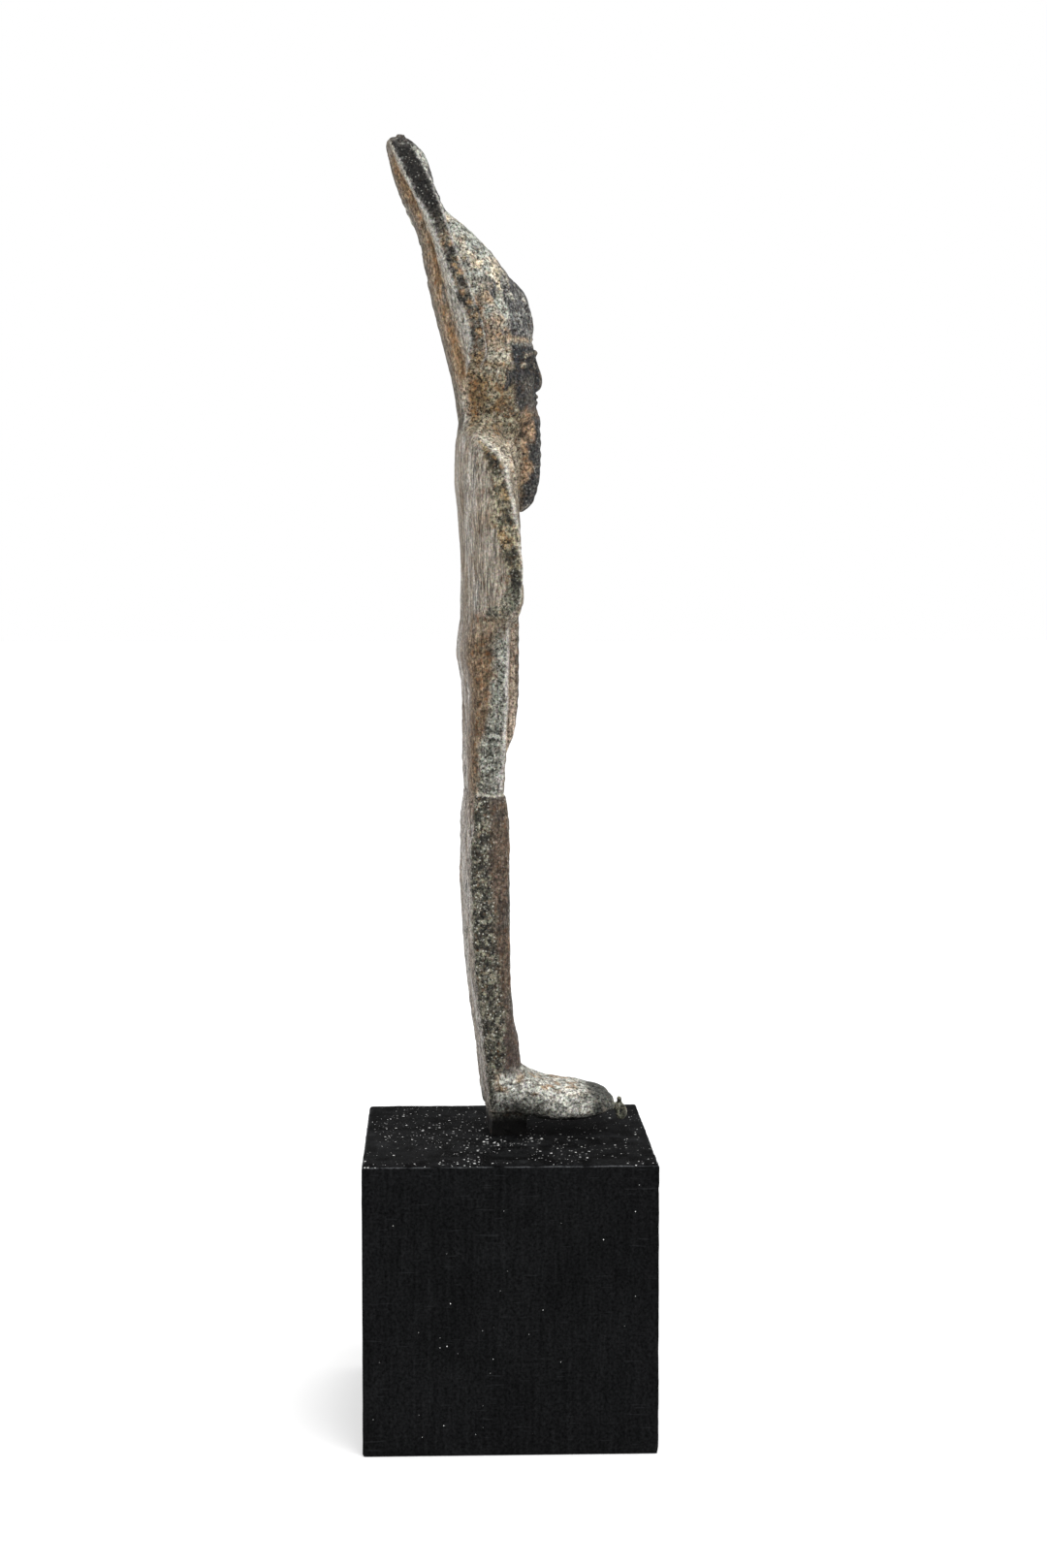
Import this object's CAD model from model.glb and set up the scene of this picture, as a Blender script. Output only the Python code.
"""A small corroded bronze of Osiris on its black wooden block, on a pale studio floor."""
import math

import bmesh
import bpy
import numpy as np
from mathutils import Matrix, Vector


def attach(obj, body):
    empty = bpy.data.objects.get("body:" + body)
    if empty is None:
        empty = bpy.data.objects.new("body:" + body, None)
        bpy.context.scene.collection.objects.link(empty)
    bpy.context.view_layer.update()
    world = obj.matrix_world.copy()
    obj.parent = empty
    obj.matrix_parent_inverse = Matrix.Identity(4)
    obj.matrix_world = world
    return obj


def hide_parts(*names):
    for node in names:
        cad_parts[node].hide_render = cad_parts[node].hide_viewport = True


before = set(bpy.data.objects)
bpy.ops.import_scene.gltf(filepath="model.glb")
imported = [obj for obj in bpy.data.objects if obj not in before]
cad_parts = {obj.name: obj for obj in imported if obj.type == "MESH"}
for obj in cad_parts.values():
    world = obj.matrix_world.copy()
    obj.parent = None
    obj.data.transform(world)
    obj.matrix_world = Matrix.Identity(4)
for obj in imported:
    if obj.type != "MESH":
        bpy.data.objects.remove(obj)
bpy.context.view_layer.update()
MM = 0.001

# How the photograph was taken: where the camera stood, and its turn, tilt and focal length.
CAMERA_PLACE = (-0.34125, 0.00927, 0.11514)
CAMERA_TURN, CAMERA_TILT = 0.0341, 0.0762
FOCAL_PIXELS, PHOTO_HEIGHT = 2525.9, 1617

# Where the figure stands, as in the frame: its heel line over the block, turned to its right.
BLOCK_TOP, TANG_SHOWN = 39.6, 2.5
FIGURE_PLACE = (2.5, 3.0, BLOCK_TOP + TANG_SHOWN)
FIGURE_TURN = math.radians(5)

# The block's half sizes, the radius of its edges, and how finely its sides are divided.
BLOCK_HALVES = np.array([20, 20, BLOCK_TOP / 2])
BLOCK_EDGE_RADIUS = 0.45
FINE_CUTS, QUICK_CUTS = 88, 24

# The figure's mesh, and the height of its mended break.
FINE_VOXEL, QUICK_VOXEL = 0.2, 0.34
MOST_TRIANGLES = 190_000
BREAK_HEIGHT = 45.8

# The patina's tones are written as the eye reads them, and this brings them down to surface colours.
PATINA_LIGHT = 0.66


def ease(low, high, value):
    """0 below low, 1 above high, and smooth between."""
    t = np.clip((value - low) / (high - low), 0, 1)
    return t * t * (3 - 2 * t)


def fade(low, high, value):
    """1 below low, 0 above high, and smooth between."""
    return 1 - ease(low, high, value)


def hump(centre, width, value):
    return np.exp(-(((value - centre) / width) ** 2))


def hashed(x, y, z, seed):
    """A repeatable number from 0 to 1 for each cell of a lattice."""
    n = (x * 374761393 + y * 668265263 + z * 1440662683 + seed * 1274126177) & 0xFFFFFFFF
    n = ((n ^ (n >> 13)) * 1274126177) & 0xFFFFFFFF
    n = ((n ^ (n >> 16)) * 2246822519) & 0xFFFFFFFF
    return (n ^ (n >> 15)) / 0xFFFFFFFF


def noise(points, size, seed=0):
    """Smooth noise from -1 to 1 whose lumps are about `size` across; size may be one number or three."""
    q = points / np.asarray(size, float)
    cell = np.floor(q).astype(np.int64)
    t = q - cell
    t = t * t * t * (t * (t * 6 - 15) + 10)
    total = np.zeros(len(points))
    for corner in range(8):
        step = np.array([corner & 1, corner >> 1 & 1, corner >> 2 & 1])
        weight = np.prod(np.where(step, t, 1 - t), axis=1)
        total += weight * hashed(*(cell + step).T, seed)
    return 2 * total - 1


def fractal(points, size, seed=0, octaves=3):
    size = np.asarray(size, float)
    layers = [noise(points, size / 2**k, seed + k) / 2**k for k in range(octaves)]
    return sum(layers) / sum(1 / 2**k for k in range(octaves))


def through(rows):
    """A smooth curve through rows of [height, value, value, ...], giving the values at many heights."""
    rows = np.array(rows, float)
    heights, values = rows[:, 0], rows[:, 1:]
    low = np.maximum(np.arange(len(rows)) - 1, 0)
    high = np.minimum(np.arange(len(rows)) + 1, len(rows) - 1)
    slopes = (values[high] - values[low]) / (heights[high] - heights[low])[:, None]

    def at(height):
        height = np.atleast_1d(height)
        i = np.clip(np.searchsorted(heights, height, side="right") - 1, 0, len(rows) - 2)
        span = (heights[i + 1] - heights[i])[:, None]
        t = np.clip((height - heights[i])[:, None] / span, 0, 1)
        leaving = t * (1 - t) ** 2 * span * slopes[i]
        arriving = t * t * (t - 1) * span * slopes[i + 1]
        return values[i] + (values[i + 1] - values[i]) * t * t * (3 - 2 * t) + leaving + arriving

    return at


class Form:
    """Closed shapes in the figure's own millimetres: x to its left, y backward, z up from the soles."""

    def __init__(self):
        self.points, self.faces = [], []

    def add(self, points, faces):
        start = len(self.points)
        self.points += [tuple(p) for p in points]
        self.faces += [tuple(start + i for i in face) for face in faces]

    def loft(self, rings):
        sides = len(rings[0])
        faces = [tuple(reversed(range(sides)))]
        for r in range(len(rings) - 1):
            for i in range(sides):
                a, b = r * sides + i, r * sides + (i + 1) % sides
                faces.append((a, b, b + sides, a + sides))
        faces.append(tuple(range((len(rings) - 1) * sides, len(rings) * sides)))
        self.add(np.concatenate(rings), faces)

    def limb(self, path, sides=20, steps=40, facing=(0, -1, 0)):
        """A rod along a path of [x, forward, z, half across, half deep], deep in the way it faces."""
        path = np.array(path, float)
        curve = through(np.column_stack([np.arange(len(path)), path]))
        t = np.linspace(0, len(path) - 1, steps + 1)
        rows = curve(t)
        centres = rows[:, :3] * (1, -1, 1)
        along = np.gradient(centres, axis=0)
        along /= np.linalg.norm(along, axis=1)[:, None]
        out = np.array(facing) - along * (along @ np.array(facing))[:, None]
        out /= np.linalg.norm(out, axis=1)[:, None]
        across = np.cross(along, out)
        angles = np.linspace(0, 2 * math.pi, sides, endpoint=False)
        self.loft([
            centre + np.outer(np.cos(angles), o) * row[4] + np.outer(np.sin(angles), a) * row[3]
            for centre, o, a, row in zip(centres, out, across, rows)
        ])

    def egg(self, centre, halves, sides=24):
        x, forward, z = centre
        heights = -np.cos(np.linspace(0.12, math.pi - 0.12, sides // 2))
        angles = np.linspace(0, 2 * math.pi, sides, endpoint=False)
        circle = np.column_stack([np.cos(angles), np.sin(angles), np.zeros(sides)])
        rings = [circle * math.sqrt(1 - h * h) + (0, 0, h) for h in heights]
        self.loft([ring * halves + (x, -forward, z) for ring in rings])

    def mesh(self, name):
        mesh = bpy.data.meshes.new(name)
        mesh.from_pydata(self.points, [], self.faces)
        return mesh


def level_ring(z, back, front, half, square=2.0, widest_at=0.0, sides=72):
    angles = (np.arange(sides) + 0.5) / sides * 2 * math.pi
    bend = lambda v: np.sign(v) * np.abs(v) ** (2 / square)
    depth = np.where(np.sin(angles) > 0, back + widest_at, front - widest_at)
    return np.column_stack([
        half * bend(np.cos(angles)),
        depth * bend(np.sin(angles)) - widest_at,
        np.full(sides, float(z)),
    ])


# The wrapped body: legs squared like a plank, broken across the shins and mended, and above them a
# rounded back that runs out to the sharp front edges of the bent arms.
lower_body = through([
    # height, back, front, half width, squareness, how far forward it is widest
    [1, 0, 5.4, 5.2, 3.2, 0.3],
    [9.4, 1, 4.65, 5.7, 3.4, 0.3],
    [15, 1.8, 3.65, 6.2, 4, 0.3],
    [20.5, 2.35, 3.1, 6.7, 5.5, 0.3],
    [26, 2.7, 2.95, 7.2, 7, 0.3],
    [34.3, 3.05, 2.85, 7.6, 7, 0.3],
    [42, 2.8, 2.75, 7.5, 7, 0.3],
    [45.5, 2.55, 2.35, 7.2, 7, 0.3],
])
upper_body = through([
    [46.1, 2.5, 2.1, 7.1, 7, 0.3],
    [50, 2.6, 2.25, 7.7, 7, 0.3],
    [58.9, 2.6, 2.65, 9.2, 7, 0.3],
    [62, 2.9, 2.75, 9.7, 6.5, 0.3],
    [65.6, 3.4, 2.8, 10.2, 6, 0.3],
    [69.2, 3, 2.9, 10.6, 4, 0.4],
    [70.2, 3, 3, 11.3, 3.2, 1],
    [71.5, 3.05, 3.1, 13.5, 2.7, 2.6],
    [73, 3.1, 3.2, 14.6, 2.5, 3.5],
    [77, 3.1, 3.4, 15, 2.4, 3.7],
    [80.4, 3.2, 3.6, 14.4, 2.4, 3.2],
    [83.6, 3.4, 3.8, 13.8, 2.4, 2.8],
    [87.2, 3.8, 3.8, 13.1, 2.3, 2.2],
    [89, 4, 3.6, 12.6, 2.3, 1.8],
    [90.7, 4, 3.2, 12, 2.3, 1.5],
    [92, 4, 3, 11.1, 2.3, 0.7],
    [93.7, 3.95, 2.9, 9.4, 2.3, -0.7],
    [95, 3.8, 2.8, 7.4, 2.2, -2],
    [96.3, 3.7, 2.9, 5, 2.1, -1],
    [98.5, 3.4, 3, 3.8, 2.1, 0],
])


def body_at(z):
    """Back, front, half width, squareness and widest place of the body at each height."""
    z = np.atleast_1d(z)
    return np.where((z < BREAK_HEIGHT)[:, None], lower_body(z), upper_body(z))


def add_body(form):
    form.loft([level_ring(z, *body_at(z)[0], 128) for z in np.arange(1, 98.5, 0.5)])


def add_feet(form):
    toes, sides = 17.9, 64
    slices = through([
        [0, 5, 1.6, 4.2],
        [1, 7, 0.6, 5.2],
        [4, 7.6, 0.3, 5.9],
        [6.2, 6.05, -0.1, 6.3],
        [8.5, 4.85, -0.6, 6.6],
        [11, 4.35, -0.7, 6.8],
        [13, 4.05, -0.6, 6.8],
        [14.5, 3.65, -0.3, 6.6],
        [15.8, 3.3, 0, 6.3],
        [17, 3, 0.4, 5.7],
        [toes, 2.5, 0.7, 4.8],
    ])
    rings = []
    for forward in np.linspace(0, toes, 46):
        top, under, half = slices(forward)[0]
        tall = (top - under) / 2
        ring = level_ring(0, tall, tall, half, 3.2, 0, sides)
        heights = (top + under) / 2 + ring[:, 1]
        rings.append(np.column_stack([ring[:, 0], np.full(sides, -forward), heights]))
    form.loft(rings)


def add_toe_lug(form):
    """The worn casting lug in front of the toes: an upright eye with a knob, on a stub."""
    forward, half_wide, half_tall, wire, half_thick = 19.55, 0.5, 0.78, 0.24, 0.42
    turns, sides = 40, 12
    around = np.linspace(0, 2 * math.pi, sides, endpoint=False)
    rings, faces = [], []
    for turn, angle in enumerate(np.linspace(0, 2 * math.pi, turns, endpoint=False)):
        out = np.array([0, math.cos(angle), math.sin(angle)])
        centre = out * (0, half_wide, half_tall) + (0, -forward, -0.4)
        across = np.outer(np.sin(around), (1, 0, 0)) * half_thick
        rings.append(centre + np.outer(np.cos(around), out) * wire + across)
        here, onward = turn * sides, (turn + 1) % turns * sides
        for i in range(sides):
            j = (i + 1) % sides
            faces.append((here + i, here + j, onward + j, onward + i))
    form.add(np.concatenate(rings), faces)
    form.limb([
        [0, forward - 0.1, 0.15, 0.45, 0.6],
        [0, forward - 0.2, 1, 0.36, 0.36],
        [0, forward - 0.22, 1.45, 0.42, 0.42],
        [0, forward - 0.22, 1.8, 0.3, 0.3],
    ], steps=12)
    form.limb([
        [0, 15.6, 1.1, 0.9, 0.8],
        [0, 17.8, 0.6, 0.7, 0.6],
        [0, forward - 0.1, 0.4, 0.42, 0.4],
    ], steps=12, facing=(1, 0, 0))


def add_arm(form, side):
    form.limb([
        [side * 11.6, 2.2, 80, 1.2, 1.4],
        [side * 12.2, 2, 76, 1.6, 1.8],
        [side * 12.7, 1.7, 73.5, 1.8, 2.1],
        [side * 12.9, 1.5, 71.6, 1.8, 2.1],
        [side * 12.6, 1.3, 70.2, 1.3, 1.6],
        [side * 12.5, 1.2, 69.4, 0.6, 0.8],
    ], sides=40, steps=50)
    form.limb([
        [side * 13, 1.9, 72.6, 1.8, 1.8],
        [side * 9.5, 2.5, 73, 2.4, 1.9],
        [side * 5.6, 2.9, 75.2, 2.1, 1.7],
        [side * 2.6, 3.1, 77.2, 1.8, 1.5],
    ], sides=32, steps=40)
    form.egg([side * 1.95, 3.3, 77.8], [1.65, 1.2, 1.9])
    for finger in range(4):
        z = 76.45 + 0.88 * finger
        form.limb([
            [side * 3.5, 3.4, z + 0.1, 0.4, 0.4],
            [side * 2.7, 4.35, z + 0.05, 0.44, 0.42],
            [side * 1.6, 4.6, z, 0.44, 0.42],
            [side * 0.7, 4.2, z - 0.1, 0.4, 0.4],
        ], sides=12, steps=12, facing=(0, 0, 1))
    form.limb([
        [side * 2.9, 3.9, 79.3, 0.45, 0.45],
        [side * 1.9, 4.55, 79.9, 0.48, 0.45],
        [side * 0.9, 4.4, 79.6, 0.4, 0.4],
    ], sides=12, steps=10, facing=(0, 0, 1))


def sceptre(side):
    """The course that crook and flail share, from the fist up across the chest."""
    return [
        [side * 1.6, 3.3, 78, 0.85, 0.9],
        [side * 3.1, 3.6, 84, 0.8, 0.85],
        [side * 4.9, 3.5, 89.5, 0.8, 0.85],
    ]


def add_crook_and_flail(form):
    for side in (-1, 1):
        form.limb([
            [side * 0.95, 1.9, 50.8, 0.7, 0.8],
            [side * 0.98, 3, 54, 1, 0.95],
            [side * 1, 3.55, 57.5, 1.05, 1],
            [side * 1.05, 3.7, 66, 1.05, 1],
            [side * 1.2, 3.5, 73, 1.05, 1.05],
            [side * 1.6, 3.3, 78.5, 0.95, 0.95],
        ], steps=60)
    form.limb(sceptre(1) + [
        [6.7, 2.9, 93.2, 0.8, 0.85],
        [8.7, 2.2, 94.3, 0.8, 0.85],
        [10, 2, 92.6, 0.75, 0.8],
        [9.6, 2.5, 90.6, 0.6, 0.6],
    ], steps=70)
    form.limb(sceptre(-1) + [
        [-6.9, 2.8, 93, 0.8, 0.85],
        [-8.6, 2.1, 93.6, 0.75, 0.8],
    ], steps=60)
    for x in (-8.3, -9.6, -10.9):
        form.limb([
            [-8.4, 1.9, 93.6, 0.5, 0.5],
            [x + 0.1, 2.5, 90, 0.6, 0.6],
            [x - 0.5, 2.9, 85, 0.65, 0.6],
            [x - 0.9, 3.1, 80, 0.7, 0.6],
            [x - 1.1, 3.2, 77.5, 0.6, 0.5],
        ], sides=14, steps=50)


def add_head(form):
    skull = through([
        [94.5, 3.4, 4.4, 3.9],
        [96.8, 3.55, 5.6, 4],
        [97.9, 3.7, 7, 4.1],
        [99.2, 3.9, 7.25, 4.45],
        [101.4, 4.2, 7.1, 4.9],
        [103.6, 4.7, 7.05, 5.15],
        [105.2, 5.1, 6.85, 5.2],
        [106.4, 5.4, 6.95, 5.2],
        [108.6, 5.9, 6.6, 5.15],
        [110.5, 6.4, 6, 5],
    ])
    heights = np.arange(94.5, 110.6, 0.4)
    form.loft([level_ring(z, *skull(z)[0], 2.25, 1, 72) for z in heights])
    form.limb([
        [0, 6.4, 107, 0.5, 0.5],
        [0, 6.85, 105, 0.6, 0.75],
        [0, 7.15, 103.3, 0.85, 0.95],
        [0, 7.1, 102.3, 1.1, 0.85],
        [0, 6.7, 101.9, 0.8, 0.4],
    ], steps=24)
    form.egg([0, 6.85, 100.75], [1.75, 0.75, 0.48])
    form.egg([0, 6.75, 100.05], [1.5, 0.8, 0.5])
    form.egg([0, 6.4, 98.5], [1.7, 1.15, 1.2])
    for side in (-1, 1):
        form.egg([side * 0.75, 6.95, 102.25], [0.55, 0.6, 0.5])
        form.egg([side * 2.35, 5.9, 104.9], [1.3, 0.8, 0.55])
        for lid in (0.42, -0.38):
            form.limb([
                [side * 1.0, 6.55, 104.85, 0.16, 0.16],
                [side * 1.7, 6.7, 104.9 + lid, 0.18, 0.2],
                [side * 2.6, 6.5, 104.95 + lid, 0.18, 0.2],
                [side * 3.5, 5.85, 104.9 + lid * 0.4, 0.16, 0.18],
                [side * 4.4, 4.9, 104.75, 0.14, 0.16],
            ], sides=10, steps=20)
        form.limb([
            [side * 0.9, 6.75, 106.1, 0.35, 0.4],
            [side * 2.4, 6.45, 106.7, 0.38, 0.42],
            [side * 4, 5.2, 106, 0.3, 0.35],
        ], sides=14, steps=20)
        form.egg([side * 5.1, 2, 103], [0.55, 0.95, 1.6])


def add_beard(form):
    slices = through([
        [84.9, -3.2, 5.3, 0.7],
        [85.6, -3, 6.3, 1.1],
        [87.2, -2.6, 7.2, 1.4],
        [89.5, -2.4, 7.75, 1.55],
        [92.5, -2.4, 7.95, 1.6],
        [95.5, -2.6, 7.95, 1.65],
        [98.2, -3.4, 7.85, 1.7],
    ])
    rings = []
    for z in np.arange(84.9, 98.3, 0.3):
        back, front, half = slices(z)[0]
        rings.append(level_ring(z, back, front, half, 2.4, (front - back) / 2, 40))
    form.loft(rings)


def add_tall_crown(form):
    slices = through([
        [106.6, 5.45, 5.85, 5.1],
        [109.4, 6.15, 6.25, 5.3],
        [112.7, 7, 5.5, 5.35],
        [116.5, 7.9, 3.9, 5.05],
        [118, 8.2, 2.85, 4.8],
        [120.6, 8.75, 0.8, 4.35],
        [123.2, 9.4, -1.75, 3.8],
        [125.8, 10.4, -5.05, 3.2],
        [127.1, 11.05, -5.8, 2.95],
        [128.4, 11.75, -6.8, 2.75],
        [131, 12.65, -7.25, 2.75],
        [133.6, 13.25, -8.15, 2.6],
        [135.3, 13.55, -9.5, 2.2],
        [136.2, 13.1, -10.6, 1.3],
    ])
    rings = []
    for z in np.append(np.arange(106.6, 136, 0.5), 136.2):
        back, front, half = slices(z)[0]
        rings.append(level_ring(z, back, front, half, 2.15, (front - back) / 2, 64))
    form.loft(rings)


# Both plumes: one plate across the crown's back, with squared outer edges bent forward.
plume_slices = through([
    # height, back by the crown, back at the edge, thickness, half width
    [103.4, 3.2, 3, 1.5, 4.7],
    [105.4, 3.6, 2.9, 2.4, 5.9],
    [107.6, 4.1, 2.9, 2.5, 7.1],
    [110.4, 4.8, 3.4, 2.4, 7.6],
    [113.6, 5.5, 4.6, 2.4, 8],
    [117.9, 6.6, 6.2, 2.4, 8.2],
    [120.8, 7.3, 7.3, 2.4, 8.2],
    [123.6, 8.3, 8.3, 2.4, 8.2],
    [125.5, 9, 9.3, 2.8, 8],
    [128, 10.2, 10.7, 3.2, 7.6],
    [130.3, 11.5, 11.6, 3.2, 7],
    [132, 12.3, 12.3, 3.1, 6],
    [134.7, 13, 13.1, 2.4, 4],
    [135.6, 13.1, 12.9, 1.8, 3],
])


def add_plumes(form):
    u = np.linspace(-1, 1, 33)
    bent = ease(0.5, 1, np.abs(u))
    rings = []
    for z in np.append(np.arange(103.4, 135.5, 0.5), 135.6):
        inner_back, edge_back, thick, half = plume_slices(z)[0]
        back = inner_back + (edge_back - inner_back) * bent
        height = np.full(len(u), z)
        back_row = np.column_stack([-u * half, back, height])
        front_row = np.column_stack([u * half, back - thick, height])
        rings.append(np.concatenate([back_row, front_row]))
    form.loft(rings)


def add_cobra(form):
    form.limb([
        [0, 1.9, 117.4, 0.6, 0.6],
        [0, 3.2, 116.2, 1, 1],
        [0, 4.6, 114.6, 1.4, 1.1],
        [0, 5.4, 112.6, 1.45, 1],
        [0, 5.95, 110.6, 1.1, 0.9],
        [0, 6, 108.6, 0.8, 0.8],
    ], sides=24, steps=36)


def add_tang(form):
    half_wide, half_deep, forward = 4, 2.5, 3
    ring = np.array([
        [-half_wide, half_deep - forward, 0],
        [-half_wide, -half_deep - forward, 0],
        [half_wide, -half_deep - forward, 0],
        [half_wide, half_deep - forward, 0],
    ])
    form.loft([ring + (0, 0, z) for z in (-12.5, 2.5)])


def add_object(name, data):
    made = bpy.data.objects.new(name, data)
    bpy.context.scene.collection.objects.link(made)
    return made


def shaped(mesh, modifiers):
    """The mesh after modifiers given as (kind, {setting: value}), as a new mesh."""
    made = add_object("shaping", mesh)
    for kind, settings in modifiers:
        modifier = made.modifiers.new(kind.title(), kind)
        for setting, value in settings.items():
            setattr(modifier, setting, value)
    seen = made.evaluated_get(bpy.context.evaluated_depsgraph_get())
    result = bpy.data.meshes.new_from_object(seen)
    bpy.data.objects.remove(made)
    return result


def coordinates(mesh):
    flat = np.empty(len(mesh.vertices) * 3, np.float32)
    mesh.vertices.foreach_get("co", flat)
    return flat.reshape(-1, 3).astype(float)


def normals(mesh):
    flat = np.empty(len(mesh.vertices) * 3, np.float32)
    mesh.vertex_normals.foreach_get("vector", flat)
    return flat.reshape(-1, 3).astype(float)


def move_points(mesh, points):
    mesh.vertices.foreach_set("co", points.astype(np.float32).ravel())
    mesh.update()


def srgb(red, green, blue):
    code = np.array([red, green, blue]) / 255
    return np.where(code <= 0.04045, code / 12.92, ((code + 0.055) / 1.055) ** 2.4)


def arm_edge(p, width=0.45):
    """How near each point is to the sharp front edge of an arm, from 0 to 1."""
    _, _, half, _, widest = body_at(p[:, 2]).T
    away = np.hypot(np.abs(p[:, 0]) - half, -p[:, 1] - widest)
    return hump(0, width, away) * ease(71, 74, p[:, 2]) * fade(95, 96.5, p[:, 2])


def leg_corner(p):
    """How near each point is to the worn front corner of the legs, from 0 to 1."""
    _, front, half, _, _ = body_at(p[:, 2]).T
    away = np.hypot(np.abs(p[:, 0]) - 0.97 * half, -p[:, 1] - front + 0.6)
    return hump(0, 0.32, away) * ease(45.6, 47, p[:, 2]) * fade(69, 70.5, p[:, 2])


def plume_part(p):
    """1 on the plumes' plate and 0 on the crown that it crosses."""
    side, z = np.abs(p[:, 0]), p[:, 2]
    return ease(3.6, 4.6, side + 1.2 * ease(121, 128, z)) * ease(103.6, 105.5, z)


def plume_edge(p):
    """1 on the plate's squared outer edge."""
    _, _, _, half = plume_slices(p[:, 2]).T
    return ease(-0.75, -0.3, np.abs(p[:, 0]) - half) * ease(103.8, 105.5, p[:, 2])


def plume_corners(p):
    """How near each point is to the two long corners of a plume's edge, from 0 to 1."""
    _, back, thick, half = plume_slices(p[:, 2]).T
    beside = np.abs(p[:, 0]) - half
    rear = hump(0, 0.34, np.hypot(beside, p[:, 1] - back))
    fore = hump(0, 0.26, np.hypot(beside, p[:, 1] - back + thick))
    return np.maximum(rear, fore) * ease(103.8, 105.5, p[:, 2]) * fade(132, 134, p[:, 2])


def eye_outline(p):
    """0 in the middle of an eye and 1 on its almond outline."""
    return np.hypot((np.abs(p[:, 0]) - 2.4) / 1.6, (p[:, 2] - 104.9) / 0.8)


def brow_line(p):
    """Height above the arched line of a brow, in millimetres."""
    return p[:, 2] - 106.75 + 0.09 * (np.abs(p[:, 0]) - 2) ** 2


def face_relief(p, n):
    """A calm, plain face: sockets, lids, brows and lips pressed into the front of the head."""
    side, forward, z = np.abs(p[:, 0]), -p[:, 1], p[:, 2]
    move = -0.32 * hump(2.3, 1.5, side) * hump(105.1, 0.8, z)
    almond = eye_outline(p)
    move += 0.34 * fade(0.5, 0.75, almond) + 0.24 * hump(1.05, 0.16, almond)
    move += 0.24 * hump(0, 0.3, brow_line(p)) * ease(0.4, 1, side) * fade(4, 4.8, side)
    lips = fade(1.4, 2, side)
    move -= 0.22 * hump(100.42, 0.17, z) * lips
    move -= 0.16 * hump(1.5, 0.35, side) * hump(102.2, 0.8, z)
    move = move * ease(0.15, 0.45, -n[:, 1]) * ease(2.5, 3.5, forward)
    return move * ease(97.8, 98.6, z) * fade(107.4, 107.9, z)


def figure_relief(p, n):
    """How far each point of the figure moves out along its normal, in millimetres."""
    x, forward, z = p[:, 0], -p[:, 1], p[:, 2]
    facing = -n[:, 1]
    calm = ease(98, 99, z) * fade(107, 108, z) * ease(0, 0.4, facing)
    crown = ease(107, 108.5, z)
    front = ease(0.2, 0.6, facing)
    move = 0.09 * fractal(p, 7, 1) + 0.05 * fractal(p, 2.2, 5, 3)
    coarse = np.clip(fade(44, 68, z) + crown + arm_edge(p), 0, 1)
    move += (0.03 + 0.05 * coarse) * fractal(p, 0.9, 9, 2)
    move += 0.05 * noise(p, (0.7, 0.7, 7), 12) * ease(60, 66, z) * fade(94, 97, z)
    move -= 0.13 * ease(0.42, 0.75, noise(p, 1.3, 14)) * (0.4 + 0.6 * coarse)
    move += 0.12 * ease(0.15, 0.5, fractal(p, 2.6, 16)) * (0.25 + coarse * 0.75)
    move = move * (1 - 0.65 * calm) + face_relief(p, n)
    # The cleft between the feet, down the instep and round the toes.
    cleft = 0.5 * hump(0, 0.4, x) * ease(8, 10.5, forward) * fade(18.2, 18.5, forward)
    move -= cleft * ease(0.4, 1.6, z)
    # The groove of the mended break.
    move -= 0.12 * hump(break_line(p), 0.24, z)
    # The ridge where a shoulder turns from the back to the chest, and the arm's edge below it.
    move += arm_edge(p, 0.4) * (0.05 + 0.13 * ease(89.5, 91.5, z)) * ease(-0.9, 0.1, noise(p, 1.6, 21))
    # The crown's rim over the brow.
    move -= 0.12 * hump(108.2 + 0.2 * noise(p, 2, 19), 0.3, z) * front
    # Barbs on the plumes, the plait of the beard, rings on the two grips and the broad collar.
    plume = plume_part(p)
    move += 0.07 * plume * np.sin((z - 0.9 * np.abs(x)) * 4.2) * ease(0.35, 0.7, np.abs(facing))
    move += 0.06 * np.sin(z * 4.6 + np.abs(x) * 3) * ease(4.6, 5.4, forward) * hump(91.5, 6.2, z)
    grip = front * fade(1.9, 2.3, np.abs(x)) * ease(2.6, 3.2, forward)
    move += 0.035 * grip * np.sin(z * 3.3) * ease(50, 53, z) * fade(72, 75, z)
    around = np.hypot(x, z - 99)
    collar = front * ease(1.2, 2, forward) * ease(4.5, 5.5, around) * fade(9.5, 10.5, around)
    move += 0.07 * collar * np.sin(around * 4.2) * fade(96, 97, z)
    return move


def break_line(p):
    """The height of the mended break across the shins, a little ragged."""
    return BREAK_HEIGHT + 0.16 * noise(p, (2.4, 2.4, 50), 18) + 0.08 * noise(p, (0.8, 0.8, 50), 20)


def broken_top(p):
    """The crown's knob is broken off: its top drops away in rough steps."""
    drop = ease(133.8, 136, p[:, 2]) * (0.35 + 0.45 * np.round(1.5 * noise(p, 1.3, 31)) / 1.5)
    dropped = p.copy()
    dropped[:, 2] -= np.clip(drop, 0, 1)
    return dropped


def standing_out(mesh, points, outward, rounds=18):
    """How far each point stands out of its surroundings, in millimetres: below 0 in a hollow."""
    ends = np.empty(len(mesh.edges) * 2, np.int32)
    mesh.edges.foreach_get("vertices", ends)
    first, second = ends.reshape(-1, 2).T
    count = len(points)
    shares = np.bincount(ends, minlength=count)[:, None]
    level = points
    for _ in range(rounds):
        total = np.column_stack([
            np.bincount(first, level[second, axis], count) + np.bincount(second, level[first, axis], count)
            for axis in range(3)
        ])
        level = (level + total / shares) / 2
    return np.sum((points - level) * outward, axis=1)


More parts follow.
